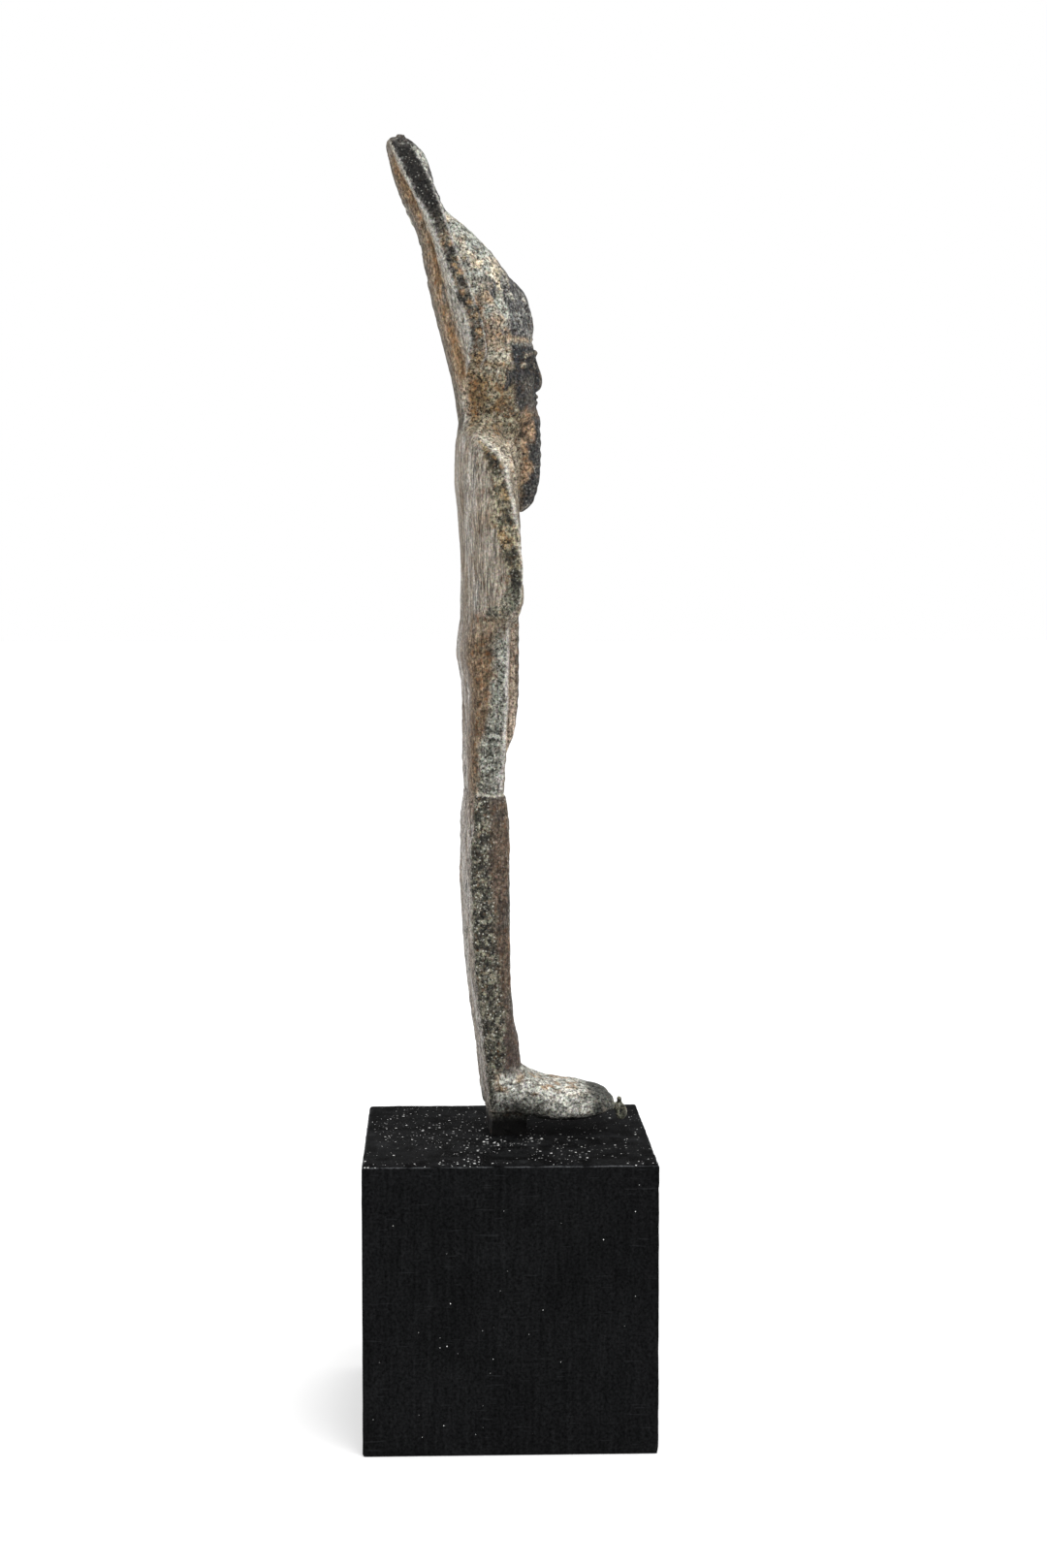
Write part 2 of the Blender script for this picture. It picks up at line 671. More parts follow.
def figure_finish(p, n, stands):
    """The patina at each point: its colour, and how much of each fine marking it carries."""
    side, forward, z = np.abs(p[:, 0]), -p[:, 1], p[:, 2]
    facing, outward = -n[:, 1], np.abs(n[:, 0])
    broad, patch, blot = fractal(p, 9, 41), fractal(p, 3.2, 44), fractal(p, 1.3, 47)
    colour = np.tile(PATINA_LIGHT * srgb(152, 143, 129), (len(p), 1))
    starting = {"streaks": 0.9, "pepper": 0.35, "ochre": 0.18, "pits": 0.2, "grains": 0.0}
    marks = {name: np.full(len(p), amount) for name, amount in starting.items()}

    def lay(mask, tone, **amounts):
        mask = np.clip(mask, 0, 1)
        colour[:] += mask[:, None] * (PATINA_LIGHT * srgb(*tone) - colour)
        for name, amount in amounts.items():
            marks[name] += mask * (amount - marks[name])

    _, front, half, _, widest = body_at(z).T
    mottle = fractal(p, 0.6, 51, 2)
    bands = fractal(p, (1.8, 1.8, 8), 55, 2)
    dark_fleck, pale_fleck = ease(0.1, 0.3, mottle + 0.35 * blot), ease(0.12, 0.34, 0.3 * blot - mottle)
    # The back: taupe with brown patches, and paler where it faces straight back.
    lay(0.6 * ease(0.05, 0.4, patch), (124, 107, 86))
    lay(0.5 * ease(0.1, 0.4, -patch - 0.3 * blot), (167, 160, 148))
    rear = ease(0.8, 0.97, -facing)
    lay(0.5 * rear * ease(-0.5, 0.5, bands + 0.4 * blot), (190, 187, 182), streaks=1, pepper=0.4)
    lay(0.4 * rear * ease(0, 0.7, -bands - 0.4 * blot), (118, 105, 90), streaks=1)
    # Arms: an olive, black and ochre band along the front, darkest at the elbow.
    starts = through([
        [69, -1], [71.4, -0.4], [73.7, 1.1], [76, 1.4], [78.2, 1.1], [80, 0.4], [82.2, -0.4],
        [85, -0.6], [88.3, -0.35], [90.6, -0.4], [92.5, -1], [94.2, -1.9], [96, -2.6],
    ])(z)[:, 0]
    torso = ease(69, 70.5, z) * fade(95, 96.3, z)
    band = torso * ease(-0.3, 0.5, forward - starts + 0.8 * blot) * ease(5, 6.5, side)
    ahead = torso * np.maximum(
        ease(0.1, 0.5, forward - widest), ease(0.55, 0.8, facing) * ease(-0.8, -0.3, forward - widest)
    )
    band *= 1 - ahead * ease(0.3, 0.7, facing)
    lay(band, (152, 144, 121), streaks=0.25, pepper=0.9, ochre=0.45, pits=0.6, grains=0.25)
    lay(band * ease(0.1, 0.35, -patch) * ease(77, 81, z), (150, 128, 92), ochre=0.5)
    lay(0.6 * band * pale_fleck, (168, 160, 134), pepper=0.5)
    lay(0.85 * band * ease(0, 0.3, blot + 0.4 * mottle), (60, 59, 49), ochre=0.15)
    lay(0.85 * band * dark_fleck, (34, 33, 28), ochre=0.1)
    lay(0.8 * band * fade(73.5, 77.5, z + 2 * blot), (92, 94, 84), ochre=0.1, grains=0.35)
    lay(0.85 * band * hump(75, 1.9, z + blot) * ease(1.2, 2.2, forward + blot), (38, 38, 32),
        ochre=0, grains=0.3)
    lay(0.6 * band * ease(90, 92, z) * dark_fleck, (34, 33, 28), ochre=0)
    # The chest and shoulders in front of the arms' edges: a pale ridge, tan crust, grey and ochre within.
    lay(ahead, (144, 134, 118), streaks=0.25, pepper=0.8, ochre=0.3, pits=0.3)
    lay(0.6 * ahead * ease(0.1, 0.4, broad + blot), (104, 99, 92))
    inner = ahead * fade(4, 10, side + 3 * broad)
    lay(0.85 * inner, (116, 104, 86), ochre=0.4)
    lay(0.8 * inner * ease(0, 0.3, patch + 0.5 * broad), (78, 77, 72), ochre=0.1)
    lay(0.7 * inner * ease(0.1, 0.4, 0.5 * blot - patch), (146, 120, 88), ochre=0.5)
    crusted = ahead * ease(88, 92, z + 2 * blot + 2 * patch) * (1 - 0.45 * ease(0.6, 0.9, facing))
    lay(0.85 * crusted, (172, 162, 142), ochre=0.45, pepper=1, grains=0.35)
    ridge = hump(0.3, 0.9, forward - widest + 0.5 * blot)
    lay(ahead * ease(90, 92.6, z + 1.2 * blot) * ridge, (226, 220, 204), pepper=1)
    # Hips and thighs: rust behind, salt and pepper in front, brown on the grips.
    low = fade(66.5, 71.5, z + 2.5 * patch + 1.5 * blot)
    lay(low * 0.9, (114, 94, 72), streaks=0.8, pepper=0.7, ochre=0.4, pits=0.5)
    lay(0.5 * low * dark_fleck, (66, 52, 38), ochre=0.2)
    lay(0.4 * low * pale_fleck, (160, 146, 124), ochre=0.2)
    thigh = low * ease(-1.2, 0.4, forward + 1.6 * patch - 0.12 * (z - 56))
    lay(thigh, (132, 132, 122), streaks=0.1, pepper=1, ochre=0.15, pits=0.45, grains=0.5)
    lay(0.5 * thigh * ease(0, 0.4, patch + 0.5 * blot), (102, 102, 94), ochre=0.1)
    lay(0.5 * thigh * pale_fleck, (186, 188, 178), ochre=0)
    lay(0.55 * thigh * dark_fleck, (54, 54, 50), ochre=0)
    ahead = low * np.maximum(ease(0.6, 0.85, facing), ease(0, 0.4, forward - front))
    lay(ahead, (168, 153, 136), streaks=0.6, pepper=0.8, ochre=0.3, pits=0.4, grains=0.1)
    inner = ahead * fade(0, 0.3, forward - front - 0.2)
    lay(0.65 * inner * ease(-0.1, 0.5, patch + 0.5 * broad), (104, 102, 93), ochre=0.15, grains=0.4)
    lay(0.55 * inner * ease(0, 0.5, 0.6 * blot - patch), (132, 104, 74), ochre=0.5)
    lay(0.85 * ahead * ease(3.95, 4.45, forward + 0.7 * mottle), (64, 61, 54))
    behind = low * ease(0.8, 0.95, -facing)
    inward = p[:, 0] + half + 1.5 * broad + patch + 0.7 * blot
    behind *= np.maximum(fade(43, 48, z + 3 * blot), ease(1.5, 5.5, inward))
    lay(0.9 * behind, (157, 147, 136), streaks=1, pepper=0.5, ochre=0.15, pits=0.3)
    lay(0.6 * behind * ease(-0.2, 0.5, bands), (192, 190, 186), ochre=0)
    lay(0.55 * behind * ease(0.05, 0.6, -bands + 0.3 * broad), (108, 96, 83), ochre=0.1)
    # Shins: dark and mottled with pale spots, a red brown strip in front, a purplish ankle.
    shin = fade(-0.1, 0.15, z - break_line(p))
    middle = shin * fade(0.7, 0.9, -facing)
    lay(middle, (88, 86, 76), streaks=0.1, pepper=1, ochre=0.2, pits=0.8, grains=1)
    lay(0.75 * middle * dark_fleck, (36, 36, 33), ochre=0, grains=0.3)
    lay(0.6 * middle * pale_fleck, (150, 147, 128), ochre=0.1)
    strip = shin * ease(-0.5, 0.3, forward + 0.7 * blot - 2.5 * fade(9, 36, z))
    lay(strip * fade(0.8, 0.95, facing), (98, 85, 73),
        streaks=0.5, pepper=0.6, ochre=0.2, pits=0.4, grains=0.15)
    lay(0.6 * strip * ease(0.1, 0.45, patch + 0.4 * blot), (74, 70, 66), ochre=0.1)
    lay(0.6 * strip * dark_fleck, (52, 44, 38), ochre=0)
    ahead = shin * ease(0.6, 0.9, facing)
    lay(ahead, (104, 94, 82), streaks=0.5, pepper=0.8, ochre=0.3, grains=0.4)
    lay(0.7 * ahead * ease(0, 0.4, patch + broad), (82, 82, 75), ochre=0.1, grains=0.6)
    lay(0.6 * ahead * ease(0.1, 0.4, 0.6 * blot - patch), (124, 98, 76), ochre=0.4)
    lay(0.7 * strip * fade(12, 20, z), (88, 77, 72), pepper=0.5, grains=0.1)
    # A dark line down the legs where the side turns to the back.
    turning = hump(0.75, 0.13, -facing) * ease(-0.5, 0.2, bands)
    lay(0.55 * turning * fade(66, 70, z) * ease(3, 6, z), (72, 64, 56))
    # Feet: pale and grainy with ochre specks and dark patches, black under the heel and at the toes.
    foot = fade(5.6, 7.8, z + 1.2 * blot) * ease(0.3, 1.6, forward)
    lay(foot, (214, 214, 204), streaks=0, pepper=0.9, ochre=0.25, pits=0.4, grains=0.7)
    lay(0.6 * foot * ease(0.12, 0.4, patch + 0.6 * blot), (136, 136, 124), ochre=0.2)
    lay(0.65 * foot * dark_fleck, (70, 70, 63), ochre=0)
    lay(0.7 * foot * ease(0.2, 0.4, noise(p, 1.1, 57)) * ease(3, 4.5, z), (156, 122, 82), ochre=0.4)
    lay(0.9 * foot * ease(12.8, 15.2, forward + blot), (48, 51, 47), ochre=0.05, grains=0.3)
    heel = ease(-0.6, 0.4, forward) * fade(6, 10, forward + 2 * patch)
    lay(0.8 * heel * fade(1.8, 4.4, z + 1.4 * blot), (42, 42, 38), pepper=0.9, ochre=0, grains=0.4)
    sole = fade(-0.2, 1.1, z + 0.7 * blot) * ease(0.3, 1.2, forward)
    lay(sole, (28, 28, 26), pits=0.8, ochre=0, grains=0.1)
    tang = fade(-0.6, -0.1, z) * fade(4.3, 4.7, side) * fade(5.6, 6, forward)
    lay(tang, (8, 7, 6), pepper=0.6, ochre=0, pits=0.3, grains=0)
    lug = fade(3, 4, z) * ease(18.3, 18.7, forward)
    lay(lug, (132, 131, 115), streaks=0, pepper=0.8, pits=0.4)
    lay(0.5 * lug * dark_fleck, (60, 60, 52))
    # Neck and the side of the head: ochre brown and grey; the beard's front and the face's front dark.
    above = ease(94.6, 96.8, z + 0.8 * blot)
    lay(above, (124, 101, 71), streaks=0.2, pepper=1, ochre=0.5, pits=0.4, grains=0.15)
    lay(above * ease(0.1, 0.35, -patch - 0.3 * blot) * 0.7, (140, 138, 120), grains=0.35, ochre=0.3)
    lay(above * ease(0.2, 0.4, broad + 0.6 * blot) * 0.7, (176, 134, 90), ochre=0.3)
    temple = ease(102.5, 105.5, z + blot) * ease(3.6, 4.6, side)
    lay(0.75 * above * temple * ease(-0.4, 0.1, -patch), (184, 178, 160), grains=0.4)
    lay(0.6 * above * dark_fleck, (70, 62, 50))
    face = ease(97.5, 99, z) * fade(107.5, 109, z)
    lay(face * ease(0, 0.3, facing + 0.45 * blot + 0.3 * patch), (50, 52, 54),
        pepper=0.8, ochre=0.1, pits=0.3, grains=0.25)
    lay(0.4 * face * ease(0.5, 0.8, facing) * ease(0, 0.4, patch - 0.4 * blot), (90, 82, 70), ochre=0.1)
    beard = ease(4.6, 5.4, forward) * fade(97.5, 99.5, z) * ease(83, 84, z)
    lay(beard, (170, 143, 115), streaks=0, pepper=0.9, ochre=0.55, pits=0.4)
    lay(0.75 * beard * dark_fleck, (72, 66, 60), ochre=0.1)
    dark = ease(6, 6.7, forward + 1.3 * blot + 2.2 * fade(86, 91, z))
    lay(beard * np.maximum(dark, 0.9 * hump(92, 1.6, z) * fade(4.6, 5.6, forward)), (67, 67, 66),
        ochre=0.05, pits=0.5, grains=0.35)
    # The crown: pale grey green sides with ochre, a charcoal front, a dusty ochre rim over the brow.
    crown = ease(107.2, 108.4, z)
    lay(crown, (170, 173, 163), streaks=0.1, pepper=1, ochre=0.2, pits=0.35, grains=0.4)
    lay(0.7 * crown * ease(0, 0.35, patch + 0.3 * blot) * fade(113, 118, z), (178, 142, 104), ochre=0.5)
    lay(0.8 * crown * ease(-0.1, 0.3, 0.4 * blot - patch) * ease(113, 117, z) * fade(125, 129, z),
        (234, 214, 182), ochre=0.45)
    lay(0.65 * crown * dark_fleck, (84, 84, 80), ochre=0.1)
    charred = 0.45 + 0.27 * ease(115, 121, z) - 0.15 * fade(107, 112, z)
    lay(crown * ease(-0.16, 0.16, facing - charred + 0.32 * blot + 0.16 * patch), (84, 84, 84),
        ochre=0.08, pits=0.5, grains=0.6)
    lay(0.6 * crown * ease(0.7, 0.9, facing) * ease(0.1, 0.4, patch + 0.4 * broad), (128, 120, 104),
        ochre=0.3)
    lay(0.45 * crown * (1 - plume_part(p)) * pale_fleck, (166, 164, 156))
    rim = 0.8 * hump(108.3, 0.35, z) * ease(0, 0.4, facing) * ease(1, 2, forward) * ease(-0.7, -0.1, blot)
    lay(rim, (168, 148, 122), pepper=0.7)
    # The plumes: a dark, mottled outer edge between pale corners, a pale back, an ochre groove by the crown.
    back = above * ease(0.1, 0.5, -facing - 0.42 * fade(101, 106, z + blot))
    lay(back, (176, 173, 163), streaks=0.8, pepper=0.5, ochre=0.15, pits=0.25, grains=0.1)
    groove = hump(3.5 - 0.9 * ease(122, 132, z), 1.45, side) * ease(98, 104, z) * fade(132, 134.5, z)
    lay(0.6 * back * ease(-0.1, 0.5, -bands), (126, 118, 104))
    lay(0.85 * back * fade(1.8, 2.8, side), (106, 99, 89))
    lay(0.9 * back * groove * ease(-0.7, -0.1, bands + 0.5 * patch), (146, 114, 76), streaks=0.7, ochre=0.55)
    lay(0.5 * back * groove * dark_fleck, (88, 70, 50))
    edge = plume_edge(p) * ease(0.45, 0.7, outward)
    lay(edge, (92, 88, 79), streaks=0.2, pepper=1, ochre=0.2, pits=0.6, grains=0.25)
    lay(0.75 * edge * ease(0.1, 0.35, mottle + 0.4 * blot) * fade(119, 124, z), (152, 126, 92),
        ochre=0.5)
    lay(0.9 * edge * ease(0.06, 0.22, -blot - 0.5 * patch), (42, 41, 39), ochre=0, pits=0.5)
    lay(edge * ease(121, 127, z + 2 * blot), (31, 30, 28), ochre=0, pits=0.4, grains=0.3)
    lay(edge * fade(104.5, 107.5, z + blot), (140, 118, 88), ochre=0.6)
    lay(ease(133.6, 135, z + 0.5 * blot) * ease(-0.2, 0.4, facing + n[:, 2]), (68, 66, 64),
        ochre=0.05, grains=0.15)
    # Dark in every hollow and paler where the surface stands proud.
    cast = ease(-0.2, 0.5, z) * fade(18.2, 18.6, forward)
    lay(0.75 * cast * ease(0.035, 0.13, -stands), (48, 43, 36), ochre=0.1, grains=0.1)
    lay(0.35 * cast * ease(0.1, 0.22, stands) * (1 - edge) * (1 - face), (186, 178, 162), grains=0.1)
    # The face's lids, eyes and brows catch a little light.
    looking = face * ease(0.35, 0.7, facing)
    lay(0.45 * looking * ease(0.02, 0.1, stands), (124, 116, 104), grains=0.1)
    almond = eye_outline(p)
    lay(0.65 * looking * fade(0.55, 0.8, almond), (134, 126, 112), pepper=0.4, grains=0.1)
    lay(0.75 * looking * hump(0.92, 0.17, almond), (30, 28, 26), pepper=0.3, grains=0)
    arch = hump(0, 0.28, brow_line(p)) * ease(0.5, 1, side) * fade(4, 4.8, side)
    lay(0.5 * looking * arch, (128, 120, 106), pepper=0.4, grains=0.1)
    # Worn, pale corners: the plumes, the ridge and edge of each arm, the legs and the mended break.
    worn = ease(-0.6, 0, blot)
    lay(0.95 * plume_corners(p) * worn, (208, 206, 198), pepper=0.4, pits=0.1, streaks=0.2, ochre=0)
    lay(0.95 * arm_edge(p, 0.3) * worn, (206, 201, 190), pepper=0.5, pits=0.1, grains=0.3, streaks=0)
    lay(0.95 * leg_corner(p) * ease(-0.8, -0.2, blot), (208, 203, 196),
        pepper=0.4, pits=0.1, streaks=0.2, ochre=0)
    lay(0.9 * hump(break_line(p), 0.17, z) * worn * fade(0.6, 0.85, -facing), (212, 206, 192),
        pepper=0.3, pits=0, ochre=0.1)
    return colour, marks


def keep_marks(mesh, colour, marks):
    """Stores the patina and its markings on the mesh's points, for the material to read."""
    stored = mesh.color_attributes.new("patina", "FLOAT_COLOR", "POINT")
    opaque = np.column_stack([colour, np.ones(len(colour))])
    stored.data.foreach_set("color", opaque.astype(np.float32).ravel())
    for name, values in marks.items():
        attribute = mesh.attributes.new(name, "FLOAT", "POINT")
        attribute.data.foreach_set("value", np.clip(values, 0, 1).astype(np.float32))


def make_figure():
    form = Form()
    add_body(form)
    add_feet(form)
    add_toe_lug(form)
    for side in (-1, 1):
        add_arm(form, side)
    add_crook_and_flail(form)
    add_head(form)
    add_beard(form)
    add_tall_crown(form)
    add_plumes(form)
    add_cobra(form)
    add_tang(form)
    voxel = FINE_VOXEL
    remesh = {"mode": "VOXEL", "voxel_size": voxel, "use_smooth_shade": True}
    mesh = shaped(form.mesh("osiris_form"), [
        ("REMESH", remesh),
        ("SMOOTH", {"factor": 0.5, "iterations": 2}),
    ])
    points, outward = coordinates(mesh), normals(mesh)
    move_points(mesh, broken_top(points + outward * figure_relief(points, outward)[:, None]))
    triangles = sum(len(face.vertices) - 2 for face in mesh.polygons)
    if triangles > MOST_TRIANGLES:
        mesh = shaped(mesh, [("DECIMATE", {"ratio": MOST_TRIANGLES / triangles})])
    mesh.name = "osiris"
    points, outward = coordinates(mesh), normals(mesh)
    keep_marks(mesh, *figure_finish(points, outward, standing_out(mesh, points, outward)))
    stand = Matrix.Translation(FIGURE_PLACE) @ Matrix.Rotation(FIGURE_TURN, 4, "Z")
    mesh.transform(Matrix.Scale(MM, 4) @ stand)
    mesh.shade_smooth()
    mesh.materials.append(corroded_bronze())
    return add_object("osiris", mesh)


def block_points(cuts):
    """A cube of points, drawn out to the block's box with rounded edges, in millimetres."""
    mesh = bpy.data.meshes.new("black_block")
    shape = bmesh.new()
    bmesh.ops.create_cube(shape, size=2)
    bmesh.ops.subdivide_edges(shape, edges=shape.edges[:], cuts=cuts, use_grid_fill=True)
    shape.to_mesh(mesh)
    shape.free()
    unit = coordinates(mesh)
    crowded = np.sign(unit) * (1 - (1 - np.abs(unit)) ** 1.45)
    core_halves = BLOCK_HALVES - BLOCK_EDGE_RADIUS
    core = np.clip(crowded * BLOCK_HALVES, -core_halves, core_halves)
    reach = crowded * BLOCK_HALVES - core
    length = np.linalg.norm(reach, axis=1)[:, None]
    points = core + BLOCK_EDGE_RADIUS * reach / np.maximum(length, 1e-9)
    move_points(mesh, points + (0, 0, BLOCK_HALVES[2]))
    return mesh


def make_block():
    """The wooden block: black paint over close grain, worn at the edges, dusty on top."""
    mesh = block_points(FINE_CUTS)
    p, n = coordinates(mesh), normals(mesh)
    # A point's second smallest gap to a pair of faces says how near it is to an edge.
    gaps = np.sort(BLOCK_HALVES - np.abs(p - (0, 0, BLOCK_HALVES[2])))
    edge = np.exp(-gaps[:, 1] / 0.5)
    # The surface lies a little inside the solid's, with worn, dented edges, and flat underneath.
    dents = ease(0.35, 0.7, fractal(p, 2.4, 61)) * edge
    sunk = 0.02 + 0.03 * (1 + fractal(p, 5, 62)) + 0.02 * (1 + noise(p, (0.5, 0.5, 6), 63))
    sunk += edge * (0.1 + 0.1 * fractal(p, 1.1, 64)) + 0.35 * dents
    sunk *= ease(-0.95, -0.6, n[:, 2])
    move_points(mesh, p - n * np.clip(sunk, 0, None)[:, None])
    top = ease(0.5, 0.9, n[:, 2])
    settled = np.exp(-((p[:, 0] + 4) ** 2 + (p[:, 1] + 1) ** 2) / 150)
    dusty = top * (0.4 + 0.5 * settled + 0.5 * fractal(p, 7, 65))
    dusty += (1 - top) * (0.05 + 0.05 * ease(0.1, 0.5, fractal(p, 12, 66)))
    rounded = hump(0.72, 0.22, n[:, 2]) * ease(-0.5, 0.2, noise(p, 1.7, 68))
    tone = 18.5 - 12.5 * top + 4 * fractal(p, 8, 67) + 70 * rounded
    keep_marks(mesh, paint(tone), {"dust": dusty})
    mesh.transform(Matrix.Scale(MM, 4))
    mesh.shade_smooth()
    mesh.materials.append(black_wood())
    return add_object("black_block", mesh)


def paint(tone):
    """The block's paint, a cool black, from tones of 0 to 255."""
    grey = (np.clip(tone, 2, 255) / 255 + 0.055) / 1.055
    return (grey ** 2.4)[:, None] * np.array([0.96, 0.99, 1.04])


class Nodes:
    """Builds a material's nodes; an input is a socket to link or a value to set."""

    def __init__(self, name):
        self.material = bpy.data.materials.new(name)
        self.material.use_nodes = True
        self.tree = self.material.node_tree
        self.shader = self.tree.nodes["Principled BSDF"]

    def fill(self, node, inputs):
        for key, value in inputs.items():
            if isinstance(value, bpy.types.NodeSocket):
                self.tree.links.new(value, node.inputs[key])
            else:
                node.inputs[key].default_value = value
        return node

    def add(self, kind, inputs=None, output=0, **settings):
        node = self.tree.nodes.new("ShaderNode" + kind)
        for key, value in settings.items():
            setattr(node, key, value)
        return self.fill(node, inputs or {}).outputs[output]

    def millimetres(self, scale=(1, 1, 1)):
        place = self.add("TexCoord", output="Object")
        return self.add("Mapping", {"Vector": place, "Scale": tuple(1000 * s for s in scale)})

    def attribute(self, name, output="Fac"):
        return self.add("Attribute", output=output, attribute_name=name)

    def noise(self, vector, scale, detail=2.0, roughness=0.5, output="Fac"):
        inputs = {"Vector": vector, "Scale": scale, "Detail": detail, "Roughness": roughness}
        return self.add("TexNoise", inputs, output)

    def span(self, value, low, high, to_low=0.0, to_high=1.0):
        inputs = {"Value": value, "From Min": low, "From Max": high, "To Min": to_low, "To Max": to_high}
        return self.add("MapRange", inputs)

    def math(self, operation, *values):
        return self.add("Math", dict(enumerate(values)), operation=operation)

    def mix(self, amount, first, second, blend="MIX"):
        node = self.tree.nodes.new("ShaderNodeMix")
        node.data_type, node.blend_type = "RGBA", blend
        colours = [tuple(srgb(*c)) + (1,) if isinstance(c, tuple) else c for c in (first, second)]
        self.fill(node, {0: amount, 6: colours[0], 7: colours[1]})
        return node.outputs[2]

    def swing(self, value, amount):
        """1 where amount is 0, and the whole of value where it is 1."""
        return self.math("MULTIPLY_ADD", self.math("SUBTRACT", value, 1.0), amount, 1.0)


def corroded_bronze():
    make = Nodes("corroded_bronze")
    place = make.millimetres()
    fine = make.noise(place, 2.7, 4, 0.75)
    broad = make.noise(place, 1.5, 3, 0.7)
    long = make.noise(make.millimetres((2.4, 2.4, 0.3)), 1.0, 5, 0.75)
    pepper, streaks = make.attribute("pepper"), make.attribute("streaks")
    speckle = make.math(
        "MULTIPLY",
        make.span(fine, 0.39, 0.61, 0.05, 2.25),
        make.span(broad, 0.38, 0.62, 0.7, 1.3),
    )
    light = make.math(
        "MULTIPLY",
        make.swing(speckle, pepper),
        make.swing(make.span(long, 0.37, 0.63, 0.15, 2.0), streaks),
    )
    colour = make.add("VectorMath", {0: make.attribute("patina", "Color"), "Scale": light}, operation="SCALE")
    tints = make.noise(place, 3.3, 2, 0.6, "Color")
    colour = make.mix(0.28, colour, tints, "OVERLAY")
    dots = make.span(make.noise(place, 1.3, 5, 0.75), 0.53, 0.64)
    colour = make.mix(make.math("MULTIPLY", dots, make.attribute("ochre")), colour, (150, 98, 54))
    dashes = make.span(make.noise(make.millimetres((2.6, 2.6, 0.6)), 1.0, 3, 0.6), 0.59, 0.66)
    colour = make.mix(make.math("MULTIPLY", dashes, streaks), colour, (66, 48, 34))
    holes = make.span(make.noise(place, 1.9, 3, 0.65), 0.44, 0.36)
    holes = make.math("MULTIPLY", holes, make.attribute("pits"))
    colour = make.mix(holes, colour, (34, 33, 32))
    cells = make.add("TexVoronoi", {"Vector": place, "Scale": 2.3, "Randomness": 1.0})
    crystals = make.math("MULTIPLY", make.span(cells, 0.34, 0.2), make.span(fine, 0.46, 0.56))
    crystals = make.math("MULTIPLY", crystals, make.attribute("grains"))
    colour = make.mix(crystals, colour, (214, 213, 203))
    height = make.math("ADD", make.math("MULTIPLY", fine, pepper), make.math("MULTIPLY", long, streaks))
    height = make.math("SUBTRACT", make.math("ADD", height, crystals), holes)
    make.fill(make.shader, {
        "Base Color": colour,
        "Roughness": make.span(holes, 0, 1, 0.78, 0.5),
        "Metallic": 0.0,
        "Specular IOR Level": 0.15,
        "Normal": make.add("Bump", {"Height": height, "Strength": 0.8, "Distance": 0.00012}),
    })
    return make.material


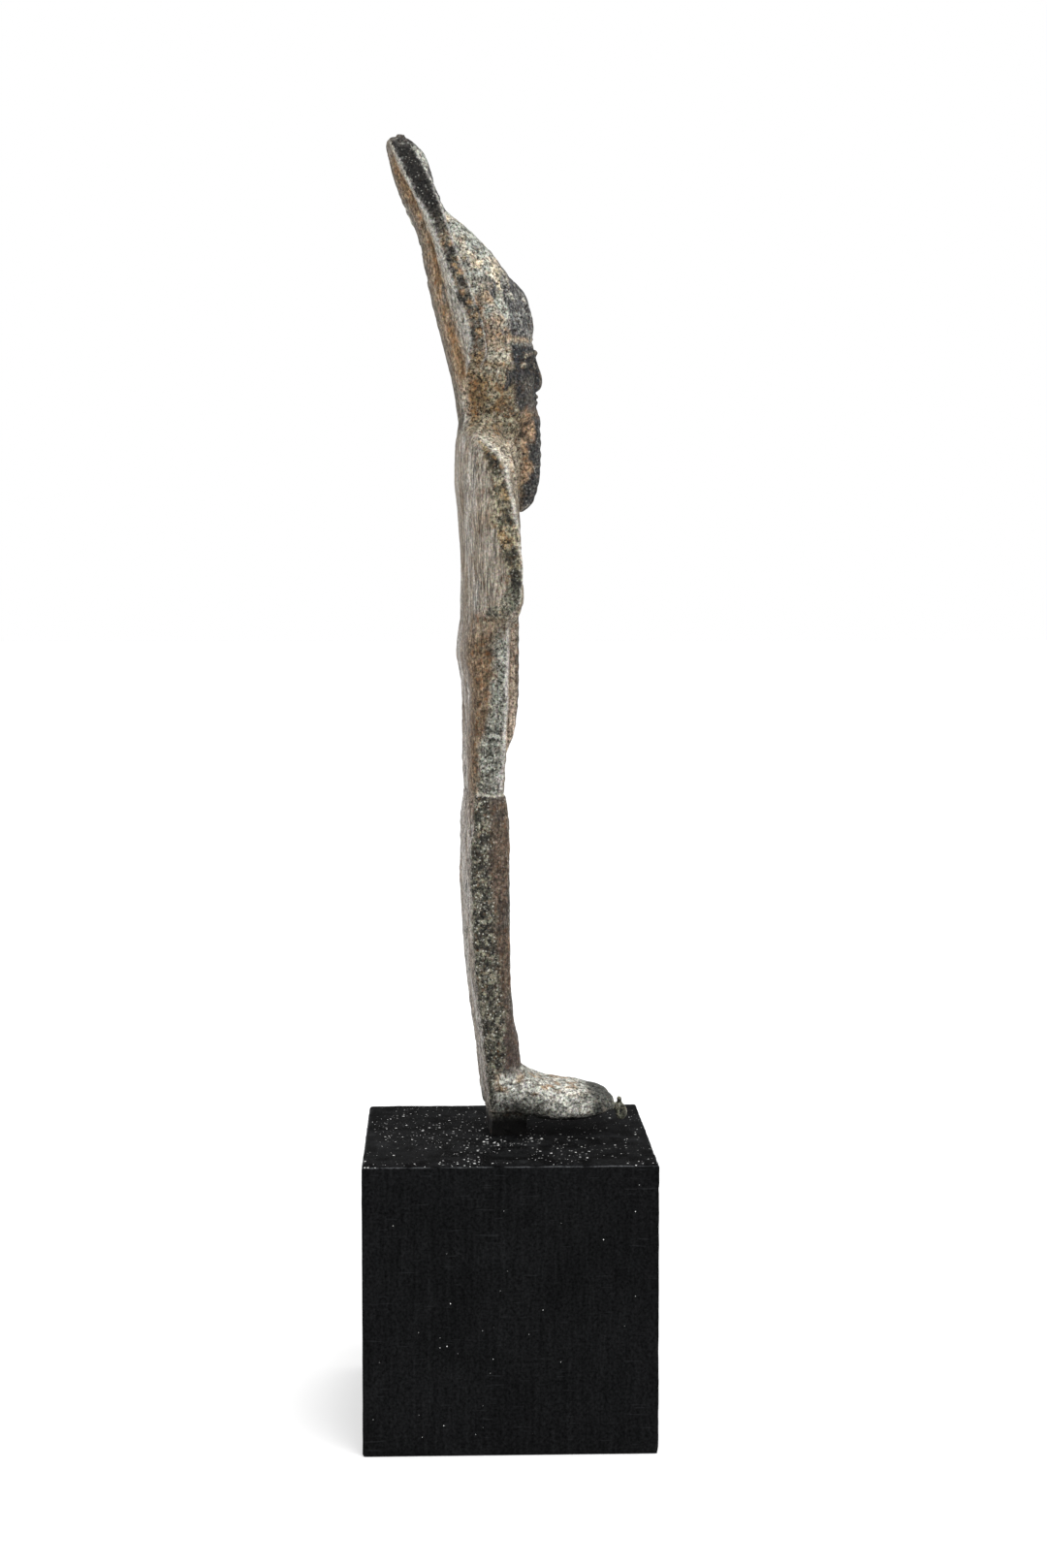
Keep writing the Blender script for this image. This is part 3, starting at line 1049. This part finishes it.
def black_wood():
    make = Nodes("black_wood")
    place = make.millimetres()
    grain = make.noise(make.millimetres((1.6, 1.6, 0.16)), 1.0, 5, 0.6)
    fine = make.noise(place, 2.6, 4, 0.7)
    light = make.math("MULTIPLY", make.span(fine, 0.3, 0.7, 0.25, 1.8), make.span(grain, 0.3, 0.7, 0.7, 1.3))
    colour = make.add("VectorMath", {0: make.attribute("patina", "Color"), "Scale": light}, operation="SCALE")
    dust = make.attribute("dust")
    cells = {"Vector": place, "Scale": 2.1, "Randomness": 1.0}
    specks = make.add("TexVoronoi", cells)
    chosen = make.add("TexVoronoi", cells, "Color")
    chance = make.add("SeparateColor", {"Color": chosen})
    wanted = make.math("GREATER_THAN", make.math("ADD", chance, make.math("MULTIPLY", dust, 0.7)), 1.0)
    size = make.add("SeparateColor", {"Color": chosen}, "Green")
    reach = make.math("MULTIPLY_ADD", dust, 0.7, 0.4)
    radius = make.math("MULTIPLY", make.span(make.math("POWER", size, 4.0), 0, 1, 0.16, 0.5), reach)
    shown = make.math("MULTIPLY", make.math("LESS_THAN", specks, radius), wanted)
    tone = make.add("SeparateColor", {"Color": chosen}, "Blue")
    colour = make.mix(make.math("MULTIPLY", shown, make.span(tone, 0, 1, 0.1, 1.0)), colour, (230, 230, 228))
    haze = make.span(make.noise(place, 3.6, 3, 0.8), 0.56, 0.7)
    colour = make.mix(make.math("MULTIPLY", haze, make.math("MULTIPLY", dust, 0.22)), colour, (120, 120, 120))
    hairs = make.span(make.noise(make.millimetres((0.2, 0.2, 2.6)), 1.0, 2, 0.5), 0.66, 0.7)
    colour = make.mix(make.math("MULTIPLY", hairs, 0.04), colour, (110, 112, 116))
    height = make.math("ADD", make.math("MULTIPLY", fine, 0.6), grain)
    make.fill(make.shader, {
        "Base Color": colour,
        "Roughness": make.span(fine, 0.3, 0.7, 0.62, 0.85),
        "Specular IOR Level": 0.01,
        "Normal": make.add("Bump", {"Height": height, "Strength": 0.5, "Distance": 0.0001}),
    })
    return make.material


def add_light(name, place, size, watts, aim=(0, 0, 0.09)):
    lamp = bpy.data.lights.new(name, "AREA")
    lamp.shape, lamp.size, lamp.energy = "DISK", size, watts
    light = add_object(name, lamp)
    light.location = place
    light.rotation_euler = (Vector(aim) - Vector(place)).to_track_quat("-Z", "Y").to_euler()


def make_studio():
    """A white cove: the floor glows enough to vanish into the backdrop."""
    scene = bpy.context.scene
    scene.view_settings.view_transform = "Standard"
    world = bpy.data.worlds.new("white_studio")
    world.use_nodes = True
    background = world.node_tree.nodes["Background"].inputs
    background["Color"].default_value = (1, 1, 1, 1)
    background["Strength"].default_value = 1.0
    scene.world = world
    reach = 6.0
    mesh = bpy.data.meshes.new("floor")
    corners = [(-reach, -reach, 0), (reach, -reach, 0), (reach, reach, 0), (-reach, reach, 0)]
    mesh.from_pydata(corners, [], [(0, 1, 2, 3)])
    make = Nodes("pale_paper")
    make.fill(make.shader, {
        "Base Color": (0.7, 0.7, 0.7, 1),
        "Roughness": 0.9,
        "Specular IOR Level": 0.1,
        "Emission Color": (1, 1, 1, 1),
        "Emission Strength": 0.36,
    })
    mesh.materials.append(make.material)
    add_object("floor", mesh)
    add_light("key", (-0.32, -0.2, 0.85), 0.45, 4)


def make_camera():
    data = bpy.data.cameras.new("camera")
    data.sensor_width = 36
    data.lens = FOCAL_PIXELS / PHOTO_HEIGHT * data.sensor_width
    data.clip_start, data.clip_end = 0.01, 20
    camera = add_object("camera", data)
    camera.location = CAMERA_PLACE
    level = math.cos(CAMERA_TILT)
    look = Vector((level * math.cos(CAMERA_TURN), -level * math.sin(CAMERA_TURN), -math.sin(CAMERA_TILT)))
    camera.rotation_euler = look.to_track_quat("-Z", "Y").to_euler()
    bpy.context.scene.camera = camera


make_camera()
make_studio()
figure = make_figure()
block = make_block()
for piece, node, slot in ((figure, "osiris_figure", "bronze"), (block, "wooden_block", "black_wood")):
    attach(piece, "root")
    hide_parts(node)
